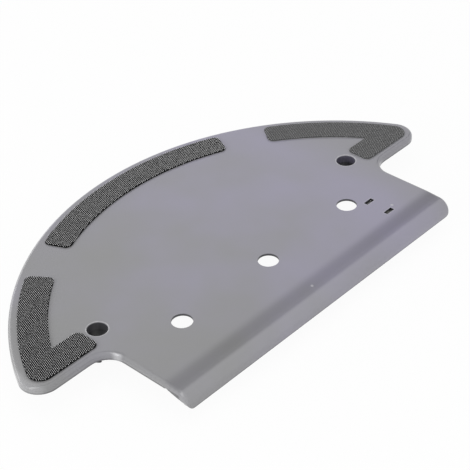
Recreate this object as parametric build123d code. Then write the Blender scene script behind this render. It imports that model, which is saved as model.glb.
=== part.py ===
from build123d import *
import math
import os

# Mop bracket of a robot vacuum cleaner, millimetres.
# Origin: centre of the middle water hole, on the flat floor-facing side.
# +Z points out of that flat side, +Y towards the middle of the arc,
# +X towards the side that has the two small windows.
# Everything is drawn about the outline's centre line and moved to the origin at the end.

# Outline of the moulding
arc_radius = 168.5
arc_reach = 122.5
wing_front = 13.4
wing_tip_radius = 11.3
tab_width = 211.6
notch_radius = 11.6
front_reach = 42.5

# Walls of the moulding
skin = 1.4
rim_wall = 1.4
rim_depth = 4.2
edge_round = 2.1

# Front lip: the sheet falls away gently, then rolls over into a deep front wall
fall_line = 27.5
fall_radius = 98.0
fall_angle = 3.5
lip_roll_radius = 7.4
lip_depth = 9.8
lip_side_length = 3.5
lip_corner_radius = 4.4

# Lower edge of the tab's side walls, which deepens towards the lip
web_start = 28.8
web_end_depth = 6.7
nick_width = 2.6
nick_height = 0.6

# Water holes, and where the middle one lies in the outline's own axes
water_hole_radius = 5.75
water_hole_pitch = 66.0
water_hole_aside = -1.0
water_hole_line = -0.95

# Hollow snap pegs on the hidden side
peg_pitch = 198.6
peg_line = 27.5
peg_bore_radius = 5.5
peg_wall = 1.5
peg_length = 17.2
peg_leg_gap = 9.0
peg_leg_length = 6.6
peg_mouth_round = 0.4
barb_height = 2.0
barb_reach = 0.6
barb_nose = 1.4
peg_web_reach = 4.5
peg_web_height = 3.4
peg_web_thickness = 1.1
peg_web_angles = (30.0, 150.0, 210.0, 330.0)

# Windows, at their distances behind the front wall, and the catches behind them
window_length = 6.2
window_width = 2.6
window_side = 75.5
window_from_front = (33.9, 20.0)
catch_wall = 1.4
catch_nose = 1.3
catch_tip = 1.5
catch_clearance = 0.2
catch_grip = 0.1

# Block that the catches hold, and the low ribs beside it
block_width = 9.0
block_thickness = 2.0
block_corner_radius = 0.8
side_rib_thickness = 1.0
side_rib_length = 9.0
side_rib_height = 1.6

# Gate marks left by the mould on the flat side
gate_places = ((-2.5, -32.7), (81.0, -20.4))
gate_radius = 0.8
gate_height = 0.3

# Hook tape patches, with angles measured about the arc's centre from +Y
tape_width = 15.8
tape_thickness = 1.1
tape_arc_margin = 4.8
tape_front_margin = 4.0
tape_corner_radius = 3.6
tape_tip_radius = 7.3
rear_tape_half_angle = 25.15
side_tape_start_angle = 35.25
side_tape_leg_end = 107.2

# Values worked out from the ones above
arc_centre = arc_reach - arc_radius
tab_half = tab_width / 2
peg_outer_radius = peg_bore_radius + peg_wall
tape_outer_radius = arc_radius - tape_arc_margin
window_lines = [distance - front_reach for distance in window_from_front]
block_length = window_lines[0] - window_lines[1] + window_width - 2 * catch_clearance
block_line = (window_lines[0] + window_lines[1]) / 2
sheet_middle = -skin / 2
beyond = 2 * arc_radius


def rounded_at(sketch, corner, radius):
    """Rounds the sketch's corner that is nearest to a point."""
    return fillet(sketch.vertices().sort_by_distance(corner)[0], radius)


def behind(line):
    """Everything behind a line that runs across the part."""
    return Pos(0, line + beyond / 2) * Rectangle(2 * beyond, beyond)


def on_arc(radius, line):
    """How far out a circle about the arc's centre meets a line across the part."""
    return math.sqrt(radius**2 - (line - arc_centre) ** 2)


def outline(inset):
    """Plan of the moulding, drawn in by inset: a half moon joined to the front tab."""
    wing_line = wing_front + inset
    tip = on_arc(arc_radius - inset, wing_line)
    half_width = tab_half - inset
    tab_length = front_reach - inset + wing_line + notch_radius
    plan = Pos(0, arc_centre) * Circle(arc_radius - inset) & behind(wing_line)
    for side in (-1, 1):
        plan = rounded_at(plan, (side * tip, wing_line), wing_tip_radius - inset)
    plan = plan + Pos(0, inset - front_reach + tab_length / 2) * Rectangle(2 * half_width, tab_length)
    for side in (-1, 1):
        plan = rounded_at(plan, (side * half_width, wing_line), notch_radius + inset)
    return plan


def below_face(depth):
    """Side view, as (y, z), of all that lies more than a depth under the sheet's face."""
    fall = (front_reach - fall_line) * math.tan(math.radians(fall_angle))
    turn = (-fall_line, 0)
    front = (-front_reach, -fall)
    far_side = Polyline(front, (-front_reach, -beyond), (beyond, -beyond), (beyond, 0), turn)
    region = make_face([Line(turn, front)] + far_side.edges())
    if depth > 0:
        region = offset(region, -depth, kind=Kind.INTERSECTION)
    region = rounded_at(region, (turn[0], -depth), fall_radius - depth)
    return rounded_at(region, (depth - front_reach, -fall - depth), lip_roll_radius - depth)


def above_lower_edge():
    """Side view of all that lies above the walls' lower edge, with its nick and the deeper lip."""
    lip_back = lip_side_length - front_reach
    nick_start = nick_width - web_start
    border = Polyline(
        (beyond, -rim_depth),
        (nick_start, -rim_depth),
        (nick_start - nick_width / 2, nick_height - rim_depth),
        (-web_start, -rim_depth),
        (lip_back, -web_end_depth),
        (lip_back, -lip_depth),
        (-beyond, -lip_depth),
        (-beyond, beyond),
        (beyond, beyond),
        close=True,
    )
    return make_face(border)


def across(side_view):
    """Extrudes a side view across the whole width."""
    return extrude(Plane.YZ * side_view, amount=beyond, both=True)


def border_edges(body):
    """Edges round the sheet's face, and the two upright front corners that they run into."""
    face_edges = [edge for face in body.faces() if face.normal_at().Z > 0.1 for edge in face.edges()]
    border = [
        edge for edge in face_edges
        if face_edges.count(edge) == 1 and edge.center().Y > lip_roll_radius / 4 - front_reach
    ]
    return border + body.edges().filter_by(Axis.Z).sort_by(Axis.Y)[:2]


def lip_corners():
    """What is cut off the two lower corners of the front wall, seen from the front."""
    radius = lip_corner_radius
    corner = Pos(radius / 2, -radius / 2) * Rectangle(radius, radius) - Circle(radius)
    right = Pos(tab_half - radius, radius - lip_depth) * corner
    return extrude(Plane.XZ * (right + right.mirror(Plane.YZ)), amount=beyond, both=True)


def tray():
    """Shell with a rounded border: plan and side view crossed, then hollowed from below."""
    body = extrude(outline(0), amount=-beyond) & across(below_face(0) & above_lower_edge())
    body = fillet(border_edges(body), edge_round)
    hollow = extrude(outline(rim_wall), amount=-beyond) & across(below_face(skin))
    return body - hollow - lip_corners()


def peg_tube():
    """Peg wall turned about the Z axis, with a barb round its end."""
    barb_radius = peg_outer_radius + barb_reach
    barb_foot = barb_nose - peg_length
    barb_top = barb_foot + barb_height
    wall = Polyline(
        (peg_bore_radius, sheet_middle),
        (peg_outer_radius, sheet_middle),
        (peg_outer_radius, barb_top + barb_reach / 2),
        (barb_radius, barb_top),
        (barb_radius, barb_foot),
        (peg_outer_radius - barb_reach, -peg_length),
        (peg_bore_radius, -peg_length),
        close=True,
    )
    return revolve(Plane.XZ * make_face(wall), Axis.Z)


def peg_web():
    """Triangular web that stiffens the peg's root, on its +X side."""
    inside = peg_bore_radius + peg_wall / 2
    reach = peg_outer_radius + peg_web_reach
    foot = -skin - peg_web_height
    side_view = Polyline(
        (inside, sheet_middle),
        (reach, sheet_middle),
        (reach, -skin - peg_web_thickness / 2),
        (peg_outer_radius, foot),
        (inside, foot),
        close=True,
    )
    return extrude(Plane.XZ * make_face(side_view), amount=peg_web_thickness / 2, both=True)


def peg():
    """Hollow peg whose lower half is split into two barbed legs."""
    top_down = (Align.CENTER, Align.CENTER, Align.MAX)
    gap = Box(peg_leg_gap, 4 * peg_outer_radius, 2 * peg_leg_length, align=top_down)
    body = peg_tube() - Pos(0, 0, peg_leg_length - peg_length) * gap
    for angle in peg_web_angles:
        body = body + Rot(0, 0, angle) * peg_web()
    return body


def peg_bore():
    """Bore of a peg with a rounded mouth on the flat side."""
    size = peg_mouth_round
    corner = Pos(-size / 2, size / 2) * Rectangle(size, size) - Circle(size)
    mouth = Pos(peg_bore_radius + size, -size) * corner
    return Cylinder(peg_bore_radius, 2 * peg_length) + revolve(Plane.XZ * mouth, Axis.Z)


def catch():
    """Catch seen from the block's rear end: a wall behind the window, with a nose that points forward."""
    under = -skin - block_thickness - catch_grip
    tip = under - catch_tip
    wall_front = window_width / 2
    wall_back = wall_front + catch_wall
    side_view = Polyline(
        (wall_front, sheet_middle),
        (wall_front, under),
        (wall_front - catch_nose, under),
        (wall_front, tip),
        (wall_back, tip),
        (wall_back, sheet_middle),
        close=True,
    )
    width = window_length - 2 * catch_clearance
    return extrude(Plane.YZ * make_face(side_view), amount=width / 2, both=True)


def side_rib():
    """Low rib that keeps the block from sliding sideways."""
    top_down = (Align.CENTER, Align.CENTER, Align.MAX)
    height = side_rib_height + skin + sheet_middle
    return Box(side_rib_thickness, side_rib_length, height, align=top_down)


def gate_mark(x, y):
    """Low pip where the plastic entered the mould."""
    fall = max(0.0, -y - fall_line) * math.tan(math.radians(fall_angle))
    bottom_up = (Align.CENTER, Align.CENTER, Align.MIN)
    pip = Cone(gate_radius, gate_radius / 2, gate_height - sheet_middle, align=bottom_up)
    return Pos(x, y, sheet_middle - fall) * pip


def base_plate():
    """The whole moulding."""
    body = tray()
    rib_offset = block_width / 2 + catch_clearance + side_rib_thickness / 2
    for side in (-1, 1):
        body = body + Pos(side * peg_pitch / 2, peg_line) * peg()
        body = body + Pos(window_side + side * rib_offset, block_line, sheet_middle) * side_rib()
    for line in window_lines:
        arm = catch() if line > block_line else catch().mirror(Plane.XZ)
        body = body + Pos(window_side, line) * arm
        body = body - Pos(window_side, line) * Box(window_length, window_width, 2 * skin)
    for column in (-1, 0, 1):
        place = Pos(water_hole_aside + column * water_hole_pitch, water_hole_line)
        body = body - place * Cylinder(water_hole_radius, 4 * skin)
    for side in (-1, 1):
        body = body - Pos(side * peg_pitch / 2, peg_line) * peg_bore()
    for x, y in gate_places:
        body = body + gate_mark(x, y)
    return body


def tape_band(start, end):
    """Stretch of the ring that the curved patches are cut from, between two angles."""
    first = math.radians(start)
    last = math.radians(end)
    wedge = Polyline(
        (0, 0),
        (beyond * math.sin(first), beyond * math.cos(first)),
        (beyond * math.sin(last), beyond * math.cos(last)),
        close=True,
    )
    ring = Circle(tape_outer_radius) - Circle(tape_outer_radius - tape_width)
    return Pos(0, arc_centre) * (ring & make_face(wedge))


def band_corners(angle):
    """The ring's inner and outer point at an angle."""
    turn = math.radians(angle)
    radii = (tape_outer_radius - tape_width, tape_outer_radius)
    return [(radius * math.sin(turn), arc_centre + radius * math.cos(turn)) for radius in radii]


def rear_patch():
    """Curved patch along the middle of the arc."""
    patch = tape_band(-rear_tape_half_angle, rear_tape_half_angle)
    for corner in band_corners(-rear_tape_half_angle) + band_corners(rear_tape_half_angle):
        patch = rounded_at(patch, corner, tape_corner_radius)
    return extrude(patch, amount=tape_thickness)


def side_patch():
    """L-shaped patch of the right wing: down the arc, round the tip and back along the wing's front."""
    front = wing_front + tape_front_margin
    back = front + tape_width
    leg_box = Pos(side_tape_leg_end + beyond / 2, front + tape_width / 2) * Rectangle(beyond, tape_width)
    leg = leg_box & Pos(0, arc_centre) * Circle(tape_outer_radius)
    patch = (tape_band(side_tape_start_angle, 90) & behind(front)) + leg
    leg_corners = [(side_tape_leg_end, front), (side_tape_leg_end, back)]
    for corner in leg_corners + band_corners(side_tape_start_angle):
        patch = rounded_at(patch, corner, tape_corner_radius)
    patch = rounded_at(patch, (on_arc(tape_outer_radius, front), front), tape_tip_radius)
    return extrude(patch, amount=tape_thickness)


def sensor_block():
    """Flat block under the windows, resting against the skin and held by both catches."""
    top_down = (Align.CENTER, Align.CENTER, Align.MAX)
    block = Box(block_width, block_length, block_thickness, align=top_down)
    block = fillet(block.edges().filter_by(Axis.Z), block_corner_radius)
    return Pos(window_side, block_line, -skin) * block


def from_origin(shape):
    """Moves a shape from the outline's axes to the part's origin, the middle water hole."""
    return Pos(-water_hole_aside, -water_hole_line) * shape


os.makedirs("parts", exist_ok=True)
right_patch = side_patch()
export_step(from_origin(base_plate()), "parts/base_plate.step")
export_step(from_origin(rear_patch()), "parts/hook_pad_rear.step")
export_step(from_origin(right_patch), "parts/hook_pad_right.step")
export_step(from_origin(right_patch.mirror(Plane.YZ)), "parts/hook_pad_left.step")
export_step(from_origin(sensor_block()), "parts/sensor_magnet.step")
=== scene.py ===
"""Looks of the mop bracket: moulded grey plate, woven hook tape, plated block, studio stage."""

import math

import bpy
import numpy as np
from bpy.props import FloatProperty, FloatVectorProperty, PointerProperty
from bpy.types import Operator, Panel, PropertyGroup
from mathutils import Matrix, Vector


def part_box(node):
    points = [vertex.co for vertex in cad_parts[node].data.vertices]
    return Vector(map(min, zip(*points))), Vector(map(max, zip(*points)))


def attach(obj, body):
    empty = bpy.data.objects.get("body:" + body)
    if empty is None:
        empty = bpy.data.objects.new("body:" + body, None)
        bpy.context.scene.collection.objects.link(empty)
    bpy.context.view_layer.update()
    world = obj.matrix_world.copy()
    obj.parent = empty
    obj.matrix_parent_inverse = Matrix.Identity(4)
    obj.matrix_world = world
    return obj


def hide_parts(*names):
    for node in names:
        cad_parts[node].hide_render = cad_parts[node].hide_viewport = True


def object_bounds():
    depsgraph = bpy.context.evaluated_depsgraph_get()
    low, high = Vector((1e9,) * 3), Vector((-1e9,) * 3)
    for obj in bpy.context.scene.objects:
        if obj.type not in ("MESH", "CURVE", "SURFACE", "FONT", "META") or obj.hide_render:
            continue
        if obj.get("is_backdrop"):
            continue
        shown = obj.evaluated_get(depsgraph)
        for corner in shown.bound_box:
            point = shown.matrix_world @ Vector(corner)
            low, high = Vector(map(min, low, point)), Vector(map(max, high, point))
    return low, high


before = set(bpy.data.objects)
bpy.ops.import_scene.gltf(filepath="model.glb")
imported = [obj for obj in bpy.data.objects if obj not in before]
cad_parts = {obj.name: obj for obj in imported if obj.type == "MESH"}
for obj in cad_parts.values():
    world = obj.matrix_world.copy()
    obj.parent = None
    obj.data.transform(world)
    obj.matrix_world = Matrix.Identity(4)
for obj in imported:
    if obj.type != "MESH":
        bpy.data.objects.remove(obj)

bl_info = {
    "name": "Mop bracket looks",
    "version": (1, 0, 0),
    "blender": (4, 5, 0),
    "location": "View3D > Sidebar > Mop bracket",
    "description": "Dresses the mop bracket and sets up its studio stage",
    "category": "Object",
}

BODY = "root"
TAPES = {"tape_left": "hook_pad_left", "tape_rear": "hook_pad_rear", "tape_right": "hook_pad_right"}

# Where the outline's own axes cross, from the origin, in millimetres
OUTLINE_X = 1.0
OUTLINE_Y = 0.95

# Places on the plate that its material knows, in those axes, in millimetres. A depth is measured
# downwards from the flat face, and a line ahead of the origin towards the front lip.
PEG_SIDE = 99.3
PEG_LINE = 27.5
PEG_BORE = 5.5
WATER_HOLE_SIDES = (-67.0, -1.0, 65.0)
WATER_HOLE_LINE = -0.95
WATER_HOLE = 5.75
WINDOW_SIDE = 75.5
WINDOW_LINES = (-8.6, -22.5)
WINDOW_HALF = (3.1, 1.3)
CATCH_HALF = (7.0, 12.0)
GATE_MARKS = ((-2.5, -32.7), (81.0, -20.4))
# Centres of the painted highlights on the left wing's tip and in the left notch
TIP_CENTRE = (-140.4, 24.7)
NOTCH_CENTRE = (-105.0, 6.2)
FALL_LINE = 27.5
FALL_SLOPE = 0.061

# Where a mark fades in or out: the start and the end of the change, in millimetres
FACE = (-1.2, -0.9)
TINGE_FADES = (80.0, 113.0)
FAR_RECESS = (80.0, 95.0)
FOLD_BEGINS = (24.0, 30.0)
FOLD_ENDS = (33.0, 38.0)
FOLD_FACE = (-1.2, -0.7)
FOLD_GROWS = (20.0, 70.0)
LIP_BEGINS = (35.5, 36.5)
ROLL_BEGINS = (36.0, 38.5)
ROLL_DEPTH = (4.5, 8.5)
ROLL_FADES = (-20.0, 60.0)
TIP_REACH = (7.0, 9.0)
TIP_SIDE = (144.5, 149.0)
NOTCH_REACH = (1.0, 4.2)
ROUNDING = (0.1, 0.5)
RIM_EDGE = (2.9, 3.9)
LIP_EDGE = (8.9, 9.7)
PEG_REACH = (8.5, 9.0)
PEG_DEPTH = (4.3, 5.3)
MARK_REACH = (0.5, 1.1)
BORE_DEPTH = (0.3, 0.7)
HOLE_DEPTH = (0.05, 0.2)
CATCH_DEPTH = (1.45, 1.7)
RIGHT_PATCH = (68.0, 74.0)
ADHESIVE_TOP = (0.12, 0.18)

# A hook's turn past its straight part, and how deep it is rooted in the backing, in metres
HOOK_TURN = math.radians(215.0)
HOOK_ROOT = 0.0001

# Reach of the floor, and the dark card's distance, half length and shift, in metres
FLOOR_HALF = 4.0
CARD_DISTANCE = 1.6
CARD_HALF = 3.5
CARD_SHIFT = 0.03

WHITE = (1.0, 1.0, 1.0)
BLACK = (0.0, 0.0, 0.0)

# Which output of a node with many outputs is used
OBJECT_OUTPUT = 3
BACKFACING_OUTPUT = 6
RAY_OUTPUTS = (0, 3, 6)
MIXED_COLOUR_OUTPUT = 2


class Wire:
    """A value in a material's node tree. Python's arithmetic on it adds Math nodes."""

    def __init__(self, tree, socket):
        self.tree = tree
        self.socket = socket

    def maths(self, operation, *values):
        return self.tree.node("ShaderNodeMath", {"operation": operation}, *values)[0]

    def __add__(self, other):
        return self.maths("ADD", self, other)

    def __radd__(self, other):
        return self.maths("ADD", other, self)

    def __sub__(self, other):
        return self.maths("SUBTRACT", self, other)

    def __rsub__(self, other):
        return self.maths("SUBTRACT", other, self)

    def __mul__(self, other):
        return self.maths("MULTIPLY", self, other)

    def __rmul__(self, other):
        return self.maths("MULTIPLY", other, self)

    def __pow__(self, other):
        return self.maths("POWER", self, other)

    def __abs__(self):
        return self.maths("ABSOLUTE", self)

    def larger(self, other):
        return self.maths("MAXIMUM", self, other)

    def step(self, start, end):
        """0 before start and 1 after end, with an eased change between them."""
        settings = {"interpolation_type": "SMOOTHSTEP"}
        return self.tree.node("ShaderNodeMapRange", settings, self, start, end, 0.0, 1.0)[0]

    def bell(self, centre, half_width):
        """1 at centre, falling smoothly to 0 at half_width from it."""
        return 1.0 - abs(self - centre).step(0.0, half_width)


class Tree:
    """A node tree; node() adds any node to it."""

    def __init__(self, tree):
        self.nodes = tree.nodes
        self.links = tree.links

    def put(self, socket, value):
        if isinstance(value, Wire):
            self.links.new(value.socket, socket)
        elif hasattr(value, "__len__") and len(value) == 3 and len(socket.default_value) == 4:
            socket.default_value = (*value, 1.0)
        else:
            socket.default_value = value

    def node(self, kind, settings, *values, **named):
        """Adds a node: settings first, then its inputs in order or by name. Returns its outputs."""
        made = self.nodes.new(kind)
        for key, value in settings.items():
            setattr(made, key, value)
        for socket, value in zip(made.inputs, values):
            if value is not None:
                self.put(socket, value)
        for key, value in named.items():
            self.put(made.inputs[key.replace("_", " ")], value)
        return [Wire(self, socket) for socket in made.outputs]

    def seen(self):
        """1 for what the camera sees straight, mirrored or through something clear."""
        path = self.node("ShaderNodeLightPath", {})
        camera, glossy, transmission = (path[index] for index in RAY_OUTPUTS)
        return camera.larger(glossy).larger(transmission)


class Material(Tree):
    """A node material with one surface shader."""

    def __init__(self, name):
        self.material = bpy.data.materials.new(name)
        self.material.use_nodes = True
        super().__init__(self.material.node_tree)
        self.shader = self.nodes["Principled BSDF"]

    def place(self):
        """Object coordinates in millimetres, as a vector and as x, y and z."""
        found = self.node("ShaderNodeTexCoord", {})[OBJECT_OUTPUT]
        scaled = self.node("ShaderNodeVectorMath", {"operation": "SCALE"}, found, Scale=1000.0)[0]
        return (scaled, *self.node("ShaderNodeSeparateXYZ", {}, scaled))

    def noise(self, vector, scale, detail=2.0, roughness=0.5):
        settings = {"noise_dimensions": "3D"}
        return self.node("ShaderNodeTexNoise", settings, Vector=vector, Scale=scale,
                         Detail=detail, Roughness=roughness)[0]

    def mix(self, factor, first, second):
        """Mixes two colours, whose sockets come after five for numbers and vectors."""
        unused = [None] * 5
        made = self.node("ShaderNodeMix", {"data_type": "RGBA"}, factor, *unused, first, second)
        return made[MIXED_COLOUR_OUTPUT]

    def surface(self, **sockets):
        for key, value in sockets.items():
            self.put(self.shader.inputs[key.replace("_", " ")], value)

    def bump(self, height, distance):
        """Normal bent by a height between 0 and 1, worth distance metres."""
        return self.node("ShaderNodeBump", {}, Height=height, Distance=distance, Strength=1.0)[0]

    def paint(self, node):
        """Gives a CAD node this material."""
        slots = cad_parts[node].data.materials
        slots.clear()
        slots.append(self.material)


class StageSettings(PropertyGroup):
    camera_place: FloatVectorProperty(
        name="Camera place", description="Where the camera stands", subtype="TRANSLATION",
        unit="LENGTH", default=(-0.46795, -0.42684, 0.48612))
    camera_turn: FloatVectorProperty(
        name="Camera turn", description="Camera rotation about X, Y and Z", subtype="EULER",
        default=(math.radians(53.469), math.radians(1.935), math.radians(-47.509)))
    camera_lens: FloatProperty(
        name="Lens", description="Focal length for a 36 mm wide sensor, in millimetres",
        default=114.78)
    floor_whiteness: FloatProperty(
        name="Floor whiteness", description="How much of the floor's shadow is washed out by white",
        subtype="FACTOR", min=0.0, max=1.0, default=0.95)
    world_level: FloatProperty(
        name="World level", description="Strength of the even light from all round", default=0.55)
    top_power: FloatProperty(
        name="Top lamp", description="Power of the lamp above, in watts", unit="POWER", default=3.9)
    key_power: FloatProperty(
        name="Key lamp", description="Power of the low lamp at the left, in watts", unit="POWER",
        default=6.5)
    fill_power: FloatProperty(
        name="Fill lamp", description="Power of the low lamp in front, in watts", unit="POWER",
        default=3.2)
    back_power: FloatProperty(
        name="Back lamp", description="Power of the long low lamp behind, in watts", unit="POWER",
        default=4.5)
    strip_power: FloatProperty(
        name="Strip lamp", unit="POWER", default=4.6,
        description="Power of the upright lamp that the left edges mirror, in watts")
    card_start: FloatProperty(
        name="Card start", description="Height angle at which the dark card overhead begins",
        subtype="ANGLE", default=math.radians(54.5))
    card_end: FloatProperty(
        name="Card end", description="Height angle at which the dark card overhead ends",
        subtype="ANGLE", default=math.radians(76.0))


class PlateSettings(PropertyGroup):
    colour: FloatVectorProperty(
        name="Plastic", description="Colour of the moulded plastic at the left", subtype="COLOR",
        default=(0.266, 0.266, 0.270))
    far_colour: FloatVectorProperty(
        name="Plastic, right", description="Colour of the moulded plastic at the right",
        subtype="COLOR", default=(0.308, 0.294, 0.380))
    roughness: FloatProperty(
        name="Roughness", description="Roughness of the satin face", subtype="FACTOR", default=0.18)
    # Painted highlight on the front lip's roll
    roll_light: FloatProperty(
        name="Roll light", description="How much of the worn colour lies on the front lip's roll",
        subtype="FACTOR", default=0.11)
    # Painted highlight on the left wing's tip
    tip_light: FloatProperty(
        name="Tip light", description="How much of the worn colour lies on the left wing's tip",
        subtype="FACTOR", default=0.22)
    # Painted highlight in the left notch's corner
    notch_light: FloatProperty(
        name="Notch light", subtype="FACTOR", default=0.65,
        description="How much of the worn colour lies in the left notch's corner")
    # Painted shade along the walls' lower edges
    edge_shade: FloatProperty(
        name="Edge shade", subtype="FACTOR", default=0.5,
        description="How much darker the plastic is along the walls' lower edges")
    peg_shade: FloatProperty(
        name="Peg shade", description="How much of the windows' dark colour the peg legs have",
        subtype="FACTOR", default=0.85)
    # Painted shade along the front fold
    fold_shade: FloatProperty(
        name="Fold shade", description="How much darker the plastic is along the front fold",
        subtype="FACTOR", default=0.14)
    # Colour of the painted highlights on the lip's roll, the tip, the notch and round the bores and
    # windows, and of the pale gate marks
    painted_highlight_colour: FloatVectorProperty(
        name="Worn edge", description="Colour of the rubbed edges round bores and windows",
        subtype="COLOR", default=(0.62, 0.62, 0.64))
    # Painted shade on the walls of the peg bores and water holes
    recess_shade_colour: FloatVectorProperty(
        name="Recess", description="Colour inside the peg bores, the holes and the windows",
        subtype="COLOR", default=(0.058, 0.058, 0.065))
    # Painted shade inside the windows and on the catches under them; the peg legs take this dark
    # colour too
    window_colour: FloatVectorProperty(
        name="Window", description="Colour inside the two small windows", subtype="COLOR",
        default=(0.010, 0.010, 0.012))
    # Painted shade inside the peg bore at the right
    far_recess_shade_colour: FloatVectorProperty(
        name="Recess, right", description="Colour inside the peg bore at the right",
        subtype="COLOR", default=(0.106, 0.100, 0.138))


class TapeSettings(PropertyGroup):
    colour: FloatVectorProperty(
        name="Backing", description="Colour of the tape's woven backing", subtype="COLOR",
        default=(0.012, 0.012, 0.013))
    right_colour: FloatVectorProperty(
        name="Backing, right", description="Colour of the right patch's backing", subtype="COLOR",
        default=(0.125, 0.125, 0.127))
    adhesive: FloatVectorProperty(
        name="Adhesive", description="Colour of the adhesive layer under the backing",
        subtype="COLOR", default=(0.5, 0.5, 0.5))
    # Painted highlight: the hooks' near-white colour stands in for the glints on the tape's dark
    # nylon hooks
    hook_colour: FloatVectorProperty(
        name="Hooks", description="Colour of the hooks", subtype="COLOR",
        default=(0.95, 0.95, 0.95))
    # Painted highlight on the right patch's hooks, as on the others
    right_hook_colour: FloatVectorProperty(
        name="Hooks, right", description="Colour of the right patch's hooks", subtype="COLOR",
        default=(0.44, 0.44, 0.44))
    backing_share: FloatProperty(
        name="Backing share", description="How much of the tape's height is its backing",
        subtype="FACTOR", min=0.1, max=1.0, default=0.6)
    row_pitch: FloatProperty(
        name="Row pitch", description="Distance between rows of hooks", subtype="DISTANCE",
        unit="LENGTH", default=0.00095, precision=5)
    hook_pitch: FloatProperty(
        name="Hook pitch", description="Distance between hooks in a row", subtype="DISTANCE",
        unit="LENGTH", default=0.00127, precision=5)
    row_shift: FloatProperty(
        name="Row shift", description="How far each row is shifted along the one before",
        subtype="DISTANCE", unit="LENGTH", default=0.0008, precision=5)
    row_turn: FloatProperty(
        name="Row turn", description="Direction of the rows, from +X", subtype="ANGLE",
        default=math.radians(75.0))
    hook_curl: FloatProperty(
        name="Hook curl", description="Radius to which a hook turns over", subtype="DISTANCE",
        unit="LENGTH", default=0.00016, precision=5)
    hook_thickness: FloatProperty(
        name="Hook thickness", description="Thickness of a hook's filament", subtype="DISTANCE",
        unit="LENGTH", default=0.00024, precision=5)
    edge_margin: FloatProperty(
        name="Edge margin", description="Bare strip along the tape's cut edge", subtype="DISTANCE",
        unit="LENGTH", default=0.00008, precision=5)


class BlockSettings(PropertyGroup):
    colour: FloatVectorProperty(
        name="Plating", description="Colour of the plated block", subtype="COLOR",
        default=(0.46, 0.46, 0.45))
    bright_colour: FloatVectorProperty(
        name="Brush strokes", description="Colour of the plating's brighter brush strokes",
        subtype="COLOR", default=(0.58, 0.58, 0.56))
    tarnish_colour: FloatVectorProperty(
        name="Tarnish", description="Colour of the dull spots on the plating", subtype="COLOR",
        default=(0.24, 0.23, 0.21))
    tarnish: FloatProperty(
        name="Tarnish share", description="How much of the tarnish colour its spots have",
        subtype="FACTOR", min=0.0, max=1.0, default=0.5)


def solid_mesh(name, points, faces, smooth=True):
    """Mesh of equal-sided faces from an (n, 3) array of points and an (m, k) array of indices."""
    mesh = bpy.data.meshes.new(name)
    count, sides = faces.shape
    mesh.vertices.add(len(points))
    mesh.vertices.foreach_set("co", np.asarray(points, np.float32).ravel())
    mesh.loops.add(count * sides)
    mesh.loops.foreach_set("vertex_index", faces.astype(np.int32).ravel())
    mesh.polygons.add(count)
    mesh.polygons.foreach_set("loop_start", np.arange(0, count * sides, sides, dtype=np.int32))
    mesh.polygons.foreach_set("use_smooth", np.full(count, smooth))
    mesh.update(calc_edges=True)
    return mesh


def hook_shape(height, curl, thickness, rings=6, sides=4):
    """One hook: a tube whose centre line rises by height less curl and then turns over.

    Past the straight part the centre line is a circle of radius curl in the xz plane, carried
    through HOOK_TURN. The tube's section is a circle about that line, and its two ends are closed.
    """
    turn = np.concatenate([[0.0], np.linspace(0.0, HOOK_TURN, rings - 1)])
    x = curl * (1 - np.cos(turn))
    z = height - curl + curl * np.sin(turn)
    z[0] = -HOOK_ROOT
    around = np.linspace(0, 2 * math.pi, sides, endpoint=False) + math.pi / sides
    width = thickness / 2 * np.linspace(1.15, 0.8, rings)[:, None]
    outward = width * np.cos(around)
    points = np.stack([
        x[:, None] + outward * np.cos(turn)[:, None],
        width * np.sin(around),
        z[:, None] - outward * np.sin(turn)[:, None],
    ], axis=-1).reshape(-1, 3)
    ring, side = np.meshgrid(np.arange(rings - 1), np.arange(sides), indexing="ij")
    following = (side + 1) % sides
    walls = np.stack([
        ring * sides + side, ring * sides + following,
        (ring + 1) * sides + following, (ring + 1) * sides + side,
    ], axis=-1).reshape(-1, 4)
    ends = np.array([np.arange(sides)[::-1], (rings - 1) * sides + np.arange(sides)])
    return points, np.concatenate([walls, ends])


def inside_top(mesh, points):
    """True for each (x, y) that lies under one of the mesh's upward faces at its top.

    A point is inside a triangle when the three cross products of its sides with the lines to the
    point have the same sign.
    """
    mesh.calc_loop_triangles()
    place = np.empty(len(mesh.vertices) * 3, np.float32)
    mesh.vertices.foreach_get("co", place)
    place = place.reshape(-1, 3).astype(float)
    index = np.empty(len(mesh.loop_triangles) * 3, np.int32)
    mesh.loop_triangles.foreach_get("vertices", index)
    triangles = place[index.reshape(-1, 3)]
    level = triangles[:, :, 2].min(axis=1) > place[:, 2].max() - 1e-6
    corners = triangles[level][:, :, :2]
    sides = np.roll(corners, -1, axis=1) - corners
    away = points[:, None, None, :] - corners[None]
    cross = sides[None, :, :, 0] * away[..., 1] - sides[None, :, :, 1] * away[..., 0]
    return ((cross >= 0).all(axis=2) | (cross <= 0).all(axis=2)).any(axis=1)


def hook_places(node, look):
    """Staggered grid of places on a patch: straight rows, each shifted along the one before."""
    low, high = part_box(node)
    reach = (high - low).length / 2
    lines = np.arange(-int(reach / look.row_pitch), int(reach / look.row_pitch) + 1)
    steps = np.arange(-int(reach / look.hook_pitch), int(reach / look.hook_pitch) + 1)
    line, step = np.meshgrid(lines, steps, indexing="ij")
    u = line * look.row_pitch
    v = step * look.hook_pitch + (line * look.row_shift) % look.hook_pitch
    c, s = math.cos(look.row_turn), math.sin(look.row_turn)
    middle = np.array([(low.x + high.x) / 2, (low.y + high.y) / 2])
    places = np.stack([v * c + u * s, v * s - u * c], axis=-1).reshape(-1, 2) + middle
    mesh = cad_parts[node].data
    kept = inside_top(mesh, places)
    for turn in np.linspace(0, 2 * math.pi, 8, endpoint=False):
        aside = look.edge_margin * np.array([math.cos(turn), math.sin(turn)])
        kept &= inside_top(mesh, places + aside)
    return places[kept]


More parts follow.
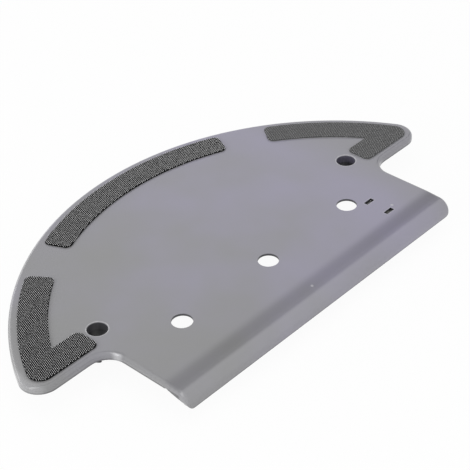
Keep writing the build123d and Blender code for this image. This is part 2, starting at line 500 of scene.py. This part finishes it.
def backing_mesh(name, node, share):
    """The patch's own form with its height, from its underside, taken to a share."""
    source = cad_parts[node].data
    source.calc_loop_triangles()
    place = np.empty(len(source.vertices) * 3, np.float32)
    source.vertices.foreach_get("co", place)
    index = np.empty(len(source.loop_triangles) * 3, np.int32)
    source.loop_triangles.foreach_get("vertices", index)
    points, merged = np.unique(place.reshape(-1, 3).round(7), axis=0, return_inverse=True)
    low = points[:, 2].min()
    points[:, 2] = low + (points[:, 2] - low) * share
    faces = merged.reshape(-1)[index].reshape(-1, 3)
    return solid_mesh(name, points, faces, smooth=False)


class BRACKET_OT_plate(Operator):
    """Gives the moulded plate its satin plastic"""

    bl_idname = "bracket.plate"
    bl_label = "Dress the plate"

    def execute(self, context):
        look = context.scene.bracket_plate
        m = Material("moulded_plastic")
        place, x, y, z = m.place()
        x, y = x - OUTLINE_X, y - OUTLINE_Y
        grain = m.noise(place, 2.2, 3.0, 0.6)
        cloud = m.noise(place, 0.02, 2.0, 0.5)
        tinge = (x * 0.0032 + cloud * 1.2 - 0.1).step(0.0, 1.0) * (1.0 - 0.7 * x.step(*TINGE_FADES))
        colour = m.mix(tinge, tuple(look.colour), tuple(look.far_colour))
        # Painted shade: the colour darkened along the front fold and along the walls' lower edges
        fold = self.fold(x, y, z)
        shade = (fold * look.fold_shade).larger(self.lower_edges(y, z) * look.edge_shade)
        colour = m.mix(shade, colour, BLACK)
        # Painted highlights on the front lip's roll, the left wing's tip and the left notch
        painted_highlight = (self.roll(x, y, z) * look.roll_light).larger(self.tip(x, y) * look.tip_light)
        painted_highlight = painted_highlight.larger(self.notch(x, y, z) * look.notch_light)
        colour = m.mix(painted_highlight, colour, tuple(look.painted_highlight_colour))
        # Painted highlights round the bores and windows, in patches, and the pale gate marks
        patchy = m.noise(place, 0.3, 2.0, 0.5).step(0.35, 0.65) * 0.6 + 0.6
        colour = m.mix(self.edge_highlights_and_gate_marks(x, y, z) * patchy, colour, tuple(look.painted_highlight_colour))
        # Painted shade on the walls of the peg bores and water holes
        recess = self.shaded_recesses(x, y, z)
        dark = m.mix(x.step(*FAR_RECESS), tuple(look.recess_shade_colour), tuple(look.far_recess_shade_colour))
        colour = m.mix(recess, colour, dark)
        # Painted shade in the windows and on the catches; the peg legs take the same dark colour
        slots = self.windows(x, y, z).larger(self.pegs(x, y, z) * look.peg_shade)
        colour = m.mix(slots, colour, tuple(look.window_colour))
        m.surface(Base_Color=colour, Roughness=look.roughness + recess.larger(slots) * 0.3,
                  Normal=m.bump(grain, 0.000002), IOR=1.57)
        m.paint("base_plate")
        return {"FINISHED"}

    def away(self, x, y, column, line):
        """Distance from a point of the flat side."""
        aside, ahead = x - column, y - line
        return (aside * aside + ahead * ahead) ** 0.5

    def from_window(self, x, y, line):
        """Distance outwards from a window's border, negative inside it."""
        aside = abs(x - WINDOW_SIDE) - WINDOW_HALF[0]
        return aside.larger(abs(y - line) - WINDOW_HALF[1])

    def fold(self, x, y, z):
        """1 along the middle of the falling sheet behind the front lip, more towards the right:
        where painted shade darkens the colour.
        """
        ahead = 0.0 - y
        across = ahead.step(*FOLD_BEGINS) * (1.0 - ahead.step(*FOLD_ENDS))
        under_face = z + (ahead - FALL_LINE) * FALL_SLOPE
        return across * under_face.step(*FOLD_FACE) * (1.0 + 0.5 * x.step(*FOLD_GROWS))

    def roll(self, x, y, z):
        """1 where the front lip rolls over, less towards the right: a painted highlight."""
        ahead, depth = 0.0 - y, 0.0 - z
        upper = ahead.step(*ROLL_BEGINS) * (1.0 - depth.step(*ROLL_DEPTH))
        return upper * (1.0 - 0.65 * x.step(*ROLL_FADES))

    def tip(self, x, y):
        """1 round the outer side of the left wing's tip: a painted highlight."""
        return self.away(x, y, *TIP_CENTRE).step(*TIP_REACH) * (0.0 - x).step(*TIP_SIDE)

    def notch(self, x, y, z):
        """1 on the rounding in the left notch, where it turns into the tab's side: a painted
        highlight.
        """
        near = 1.0 - self.away(x, y, *NOTCH_CENTRE).step(*NOTCH_REACH)
        return near * (0.0 - z).step(*ROUNDING)

    def lower_edges(self, y, z):
        """1 along the lower edge of the rim's wall and of the front lip: where painted shade
        darkens the colour.
        """
        ahead, depth = 0.0 - y, 0.0 - z
        lip = ahead.step(*LIP_BEGINS)
        return depth.step(*RIM_EDGE) * (1.0 - lip) + depth.step(*LIP_EDGE) * lip

    def pegs(self, x, y, z):
        """1 on the peg legs below the rim."""
        near = 1.0 - self.away(abs(x), y, PEG_SIDE, PEG_LINE).step(*PEG_REACH)
        return near * (0.0 - z).step(*PEG_DEPTH)

    def edge_highlights_and_gate_marks(self, x, y, z):
        """Painted highlights: light lines round the bores and windows; and the two gate marks, as
        pale specks.
        """
        sheen = 0.65 * self.away(abs(x), y, PEG_SIDE, PEG_LINE).bell(PEG_BORE + 0.35, 0.45)
        for line in WINDOW_LINES:
            sheen = sheen.larger(0.3 * self.from_window(x, y, line).bell(0.25, 0.4))
        for column, line in GATE_MARKS:
            sheen = sheen.larger(0.6 * (1.0 - self.away(x, y, column, line).step(*MARK_REACH)))
        return sheen * z.step(*FACE)

    def shaded_recesses(self, x, y, z):
        """1 on the walls of the peg bores and water holes, which get painted shade."""
        depth = 0.0 - z
        bore = 1.0 - self.away(abs(x), y, PEG_SIDE, PEG_LINE).step(PEG_BORE + 0.1, PEG_BORE + 0.2)
        deep = bore * depth.step(*BORE_DEPTH)
        walls = 0.0
        for column in WATER_HOLE_SIDES:
            hole = self.away(x, y, column, WATER_HOLE_LINE)
            walls = (1.0 - hole.step(WATER_HOLE + 0.1, WATER_HOLE + 0.2)).larger(walls)
        return deep.larger(walls * depth.step(*HOLE_DEPTH))

    def windows(self, x, y, z):
        """1 on the walls of the windows and on the catches that lie under them, which get painted
        shade.
        """
        depth = 0.0 - z
        walls = 0.0
        for line in WINDOW_LINES:
            walls = (1.0 - self.from_window(x, y, line).step(0.1, 0.2)).larger(walls)
        half_width, half_length = CATCH_HALF
        beside = 1.0 - abs(x - WINDOW_SIDE).step(half_width, half_width + 0.5)
        along = 1.0 - abs(y - sum(WINDOW_LINES) / 2).step(half_length, half_length + 0.5)
        catches = beside * along * depth.step(*CATCH_DEPTH)
        return (walls * depth.step(*HOLE_DEPTH)).larger(catches)


class BRACKET_OT_tape(Operator):
    """Makes the hook tape patches: a woven backing with rows of small hooks"""

    bl_idname = "bracket.tape"
    bl_label = "Make the hook tape"

    def execute(self, context):
        look = context.scene.bracket_tape
        backing = self.backing_material(look)
        hooks = self.hook_material(look)
        for seed, (name, node) in enumerate(TAPES.items()):
            low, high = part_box(node)
            level = low.z + (high.z - low.z) * look.backing_share
            cloth = self.piece(context, name, backing_mesh(name, node, look.backing_share), backing)
            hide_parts(node)
            places = hook_places(node, look)
            if len(places) == 0:
                raise RuntimeError(f"no hook fits on {node}")
            mesh = self.hooks(name + "_hooks", look, places, level, high.z - level, seed)
            self.piece(context, name + "_hooks", mesh, hooks)
        return {"FINISHED"}

    def piece(self, context, name, mesh, look):
        mesh.materials.append(look.material)
        made = bpy.data.objects.new(name, mesh)
        context.scene.collection.objects.link(made)
        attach(made, BODY)
        return made

    def hooks(self, name, look, places, level, height, seed):
        """A hook at each place, turned along its row, with small seeded differences."""
        shape, faces = hook_shape(height, look.hook_curl, look.hook_thickness)
        draw = np.random.default_rng(seed)
        heading = look.row_turn + draw.normal(0, 0.015, len(places))
        size = draw.normal(0.975, 0.01, len(places)).clip(0.94, 1.0)[:, None]
        c, s = np.cos(heading)[:, None], np.sin(heading)[:, None]
        points = np.stack([
            size * (shape[:, 0] * c - shape[:, 1] * s) + places[:, :1],
            size * (shape[:, 0] * s + shape[:, 1] * c) + places[:, 1:],
            size * shape[:, 2] + level,
        ], axis=-1)
        offsets = np.arange(len(places))[:, None, None] * len(shape)
        return solid_mesh(name, points.reshape(-1, 3), (faces + offsets).reshape(-1, 4))

    def backing_material(self, look):
        m = Material("tape_backing")
        place, x, _, z = m.place()
        weave = m.noise(place, 1.6, 2.0, 0.6)
        colour = m.mix(x.step(*RIGHT_PATCH), tuple(look.colour), tuple(look.right_colour))
        colour = m.mix(weave.step(0.7, 0.3) * 0.4, colour, BLACK)
        colour = m.mix(z.step(*ADHESIVE_TOP), tuple(look.adhesive), colour)
        m.surface(Base_Color=colour, Roughness=0.85, Normal=m.bump(weave, 0.0001),
                  Specular_IOR_Level=0.05)
        return m

    def hook_material(self, look):
        m = Material("tape_hooks")
        place, x, _, _ = m.place()
        tint = m.noise(place, 0.35, 1.0, 0.5).step(0.3, 0.7)
        # Painted highlight: the hooks are coloured light to stand in for their glints
        colour = m.mix(x.step(*RIGHT_PATCH), tuple(look.hook_colour), tuple(look.right_hook_colour))
        m.surface(Base_Color=m.mix(tint * 0.08, colour, BLACK), Roughness=0.4)
        return m


class BRACKET_OT_block(Operator):
    """Dresses the plated block behind the windows"""

    bl_idname = "bracket.block"
    bl_label = "Dress the block"

    def execute(self, context):
        look = context.scene.bracket_block
        m = Material("plated_magnet")
        place = m.place()[0]
        stretch = {"operation": "MULTIPLY"}
        brushed = m.node("ShaderNodeVectorMath", stretch, place, (8.0, 0.4, 8.0))[0]
        strokes = m.noise(brushed, 1.0, 3.0, 0.6)
        spots = m.noise(place, 0.5, 2.0, 0.5).step(0.55, 0.75)
        bright = m.mix(strokes, tuple(look.colour), tuple(look.bright_colour))
        colour = m.mix(spots * look.tarnish, bright, tuple(look.tarnish_colour))
        m.surface(Base_Color=colour, Roughness=0.28 + strokes * 0.15 + spots * 0.1, Metallic=1.0,
                  Normal=m.bump(strokes, 0.000004))
        m.paint("sensor_magnet")
        return {"FINISHED"}


class BRACKET_OT_stage(Operator):
    """Sets up the camera, the floor, the world and the lamps"""

    bl_idname = "bracket.stage"
    bl_label = "Set the stage"

    def execute(self, context):
        look = context.scene.bracket_stage
        context.scene.view_settings.view_transform = "Standard"
        self.camera(context, look)
        self.floor(context, look)
        self.world(context, look)
        self.lamps(context, look)
        self.card(context, look)
        return {"FINISHED"}

    def camera(self, context, look):
        camera = bpy.data.objects.new("camera", bpy.data.cameras.new("camera"))
        context.scene.collection.objects.link(camera)
        camera.location = look.camera_place
        camera.rotation_euler = look.camera_turn
        camera.data.lens = look.camera_lens
        camera.data.sensor_width = 36.0
        camera.data.clip_start = 0.01
        camera.data.clip_end = 20.0
        context.scene.camera = camera

    def floor(self, context, look):
        """White paper under the object, clear from below so that the underside can be looked at."""
        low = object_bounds()[0].z
        mesh = bpy.data.meshes.new("floor")
        turns = ((-1, -1), (1, -1), (1, 1), (-1, 1))
        square = [(x * FLOOR_HALF, y * FLOOR_HALF, low) for x, y in turns]
        mesh.from_pydata(square, [], [(0, 1, 2, 3)])
        floor = bpy.data.objects.new("floor", mesh)
        context.scene.collection.objects.link(floor)
        m = Material("floor_paper")
        m.surface(Base_Color=(0.9, 0.9, 0.9), Roughness=0.9)
        white = m.node("ShaderNodeEmission", {}, WHITE, 1.0)[0]
        paper = Wire(m, m.shader.outputs[0])
        lit = m.node("ShaderNodeMixShader", {}, m.seen() * look.floor_whiteness, paper, white)[0]
        below = m.node("ShaderNodeNewGeometry", {})[BACKFACING_OUTPUT]
        clear = m.node("ShaderNodeBsdfTransparent", {})[0]
        sheet = m.node("ShaderNodeMixShader", {}, below, lit, clear)[0]
        m.put(m.nodes["Material Output"].inputs[0], sheet)
        mesh.materials.append(m.material)
        floor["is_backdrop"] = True

    def world(self, context, look):
        """Even light from all round, and plain white wherever it is seen or mirrored."""
        world = bpy.data.worlds.new("studio")
        world.use_nodes = True
        tree = Tree(world.node_tree)
        light = tree.nodes["Background"]
        tree.put(light.inputs[0], WHITE)
        tree.put(light.inputs[1], look.world_level)
        lit = Wire(tree, light.outputs[0])
        white = tree.node("ShaderNodeBackground", {}, WHITE, 1.0)[0]
        shown = tree.node("ShaderNodeMixShader", {}, tree.seen(), lit, white)[0]
        tree.put(tree.nodes["World Output"].inputs[0], shown)
        context.scene.world = world

    def lamps(self, context, look):
        rows = [
            ("top_lamp", (0.0, 0.2, 1.3), (1.2, 1.2), look.top_power),
            ("key_lamp", (-1.3, 0.25, 0.45), (0.6, 0.6), look.key_power),
            ("fill_lamp", (0.3, -1.2, 0.4), (0.8, 0.8), look.fill_power),
            ("back_lamp", (-0.3, 1.4, 0.35), (2.0, 0.5), look.back_power),
            ("strip_lamp", (-1.0, 0.03, 0.75), (0.45, 1.5), look.strip_power),
        ]
        for name, place, size, power in rows:
            lamp = bpy.data.lights.new(name, "AREA")
            lamp.shape = "RECTANGLE"
            lamp.size, lamp.size_y = size
            lamp.energy = power
            made = bpy.data.objects.new(name, lamp)
            made.location = place
            made.rotation_euler = (-Vector(place)).to_track_quat("-Z", "Y").to_euler()
            made.visible_glossy = name not in ("top_lamp", "fill_lamp", "key_lamp")
            made.visible_diffuse = name != "strip_lamp"
            context.scene.collection.objects.link(made)

    def card(self, context, look):
        """Long dark card overhead, seen only in reflections: it darkens the front lip's slope."""
        (y0, z0), (y1, z1) = (
            (CARD_DISTANCE * math.cos(height) - CARD_SHIFT, CARD_DISTANCE * math.sin(height))
            for height in (look.card_start, look.card_end)
        )
        mesh = bpy.data.meshes.new("dark_card")
        near = [(-CARD_HALF, y0, z0), (CARD_HALF, y0, z0)]
        far = [(CARD_HALF, y1, z1), (-CARD_HALF, y1, z1)]
        mesh.from_pydata(near + far, [], [(0, 1, 2, 3)])
        card = bpy.data.objects.new("dark_card", mesh)
        context.scene.collection.objects.link(card)
        m = Material("dark_card")
        m.surface(Base_Color=(0.02, 0.02, 0.02), Roughness=0.9)
        mesh.materials.append(m.material)
        card.visible_camera = False
        card.visible_diffuse = False
        card.visible_shadow = False
        card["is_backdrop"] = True


class BRACKET_PT_panel(Panel):
    """Lists the steps in the 3D view's sidebar"""

    bl_label = "Mop bracket"
    bl_idname = "BRACKET_PT_panel"
    bl_space_type = "VIEW_3D"
    bl_region_type = "UI"
    bl_category = "Mop bracket"

    def draw(self, context):
        for operator in OPERATORS:
            self.layout.operator(operator.bl_idname)
        for name, group in GROUPS.items():
            column = self.layout.column()
            for key in group.__annotations__:
                column.prop(getattr(context.scene, name), key)


GROUPS = {
    "bracket_plate": PlateSettings,
    "bracket_tape": TapeSettings,
    "bracket_block": BlockSettings,
    "bracket_stage": StageSettings,
}
OPERATORS = (BRACKET_OT_plate, BRACKET_OT_tape, BRACKET_OT_block, BRACKET_OT_stage)


def register():
    for group in GROUPS.values():
        bpy.utils.register_class(group)
    for name, group in GROUPS.items():
        setattr(bpy.types.Scene, name, PointerProperty(type=group))
    for made in (*OPERATORS, BRACKET_PT_panel):
        bpy.utils.register_class(made)


def unregister():
    for made in (BRACKET_PT_panel, *reversed(OPERATORS)):
        bpy.utils.unregister_class(made)
    for name in GROUPS:
        delattr(bpy.types.Scene, name)
    for group in reversed(GROUPS.values()):
        bpy.utils.unregister_class(group)


def corners(box):
    """A box's two corners as plain lists of numbers."""
    return [list(corner) for corner in box]


def main():
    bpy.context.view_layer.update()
    register()
    bpy.ops.bracket.plate()
    bpy.ops.bracket.tape()
    bpy.ops.bracket.block()
    bpy.ops.bracket.stage()


if __name__ == "__main__":
    main()
